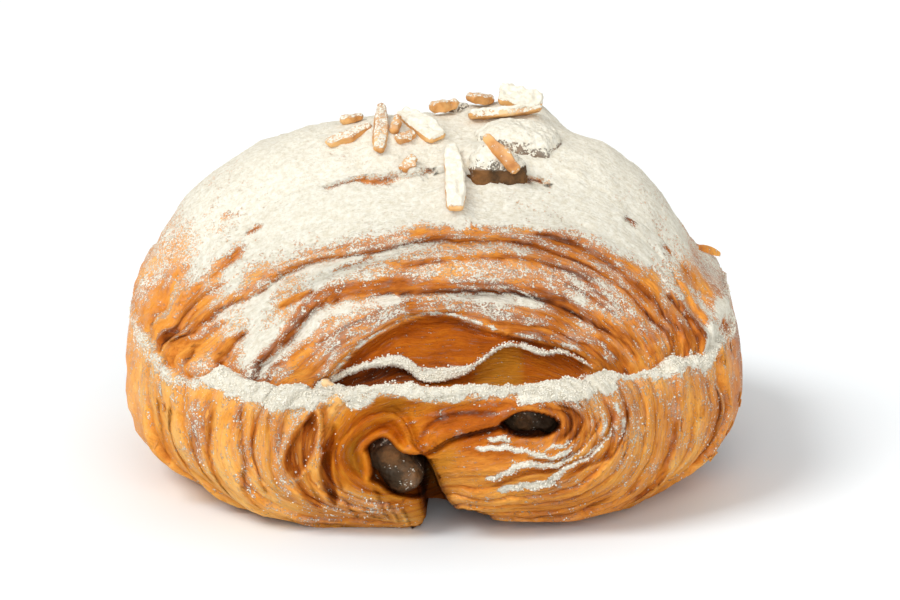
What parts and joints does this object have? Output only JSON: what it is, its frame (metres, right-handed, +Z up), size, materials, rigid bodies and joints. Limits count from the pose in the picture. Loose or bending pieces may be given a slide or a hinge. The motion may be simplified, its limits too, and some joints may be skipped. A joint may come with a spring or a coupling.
{
  "type": "double chocolate croissant",
  "caption": "Domed laminated pastry rolled from both sides round two chocolate sticks, with a sugared ledge, chocolate chunks and almond slivers on top.",
  "frame": {"origin": "on the surface the pastry stands on, under the middle of its bounding box", "axes": "+Z up; the roll's axis and both chocolate sticks run along Y, with the shown end at -Y; +X to the right as seen from that end"},
  "size_m": [0.1162, 0.101, 0.0713],
  "materials": {
    "crust": "baked crust, matt, dusted with powdered sugar",
    "chocolate": "dark chocolate, dull, with a soft sheen",
    "almond": "toasted almond, matt"
  },
  "bodies": {
    "root": {"pastry": "crust", "chocolate_stick_left": "chocolate", "chocolate_stick_right": "chocolate", "chocolate_chunk_front": "chocolate", "chocolate_chunk_sugared": "chocolate", "chocolate_chunk_back": "chocolate", "chocolate_chunk_small": "chocolate", "almond_sliver_1": "almond", "almond_sliver_2": "almond", "almond_sliver_3": "almond", "almond_sliver_4": "almond", "almond_sliver_5": "almond", "almond_sliver_6": "almond", "almond_sliver_7": "almond", "almond_sliver_8": "almond", "almond_sliver_9": "almond", "almond_sliver_10": "almond", "almond_sliver_11": "almond", "almond_sliver_12": "almond", "almond_sliver_13": "almond"}
  },
  "joints": []
}
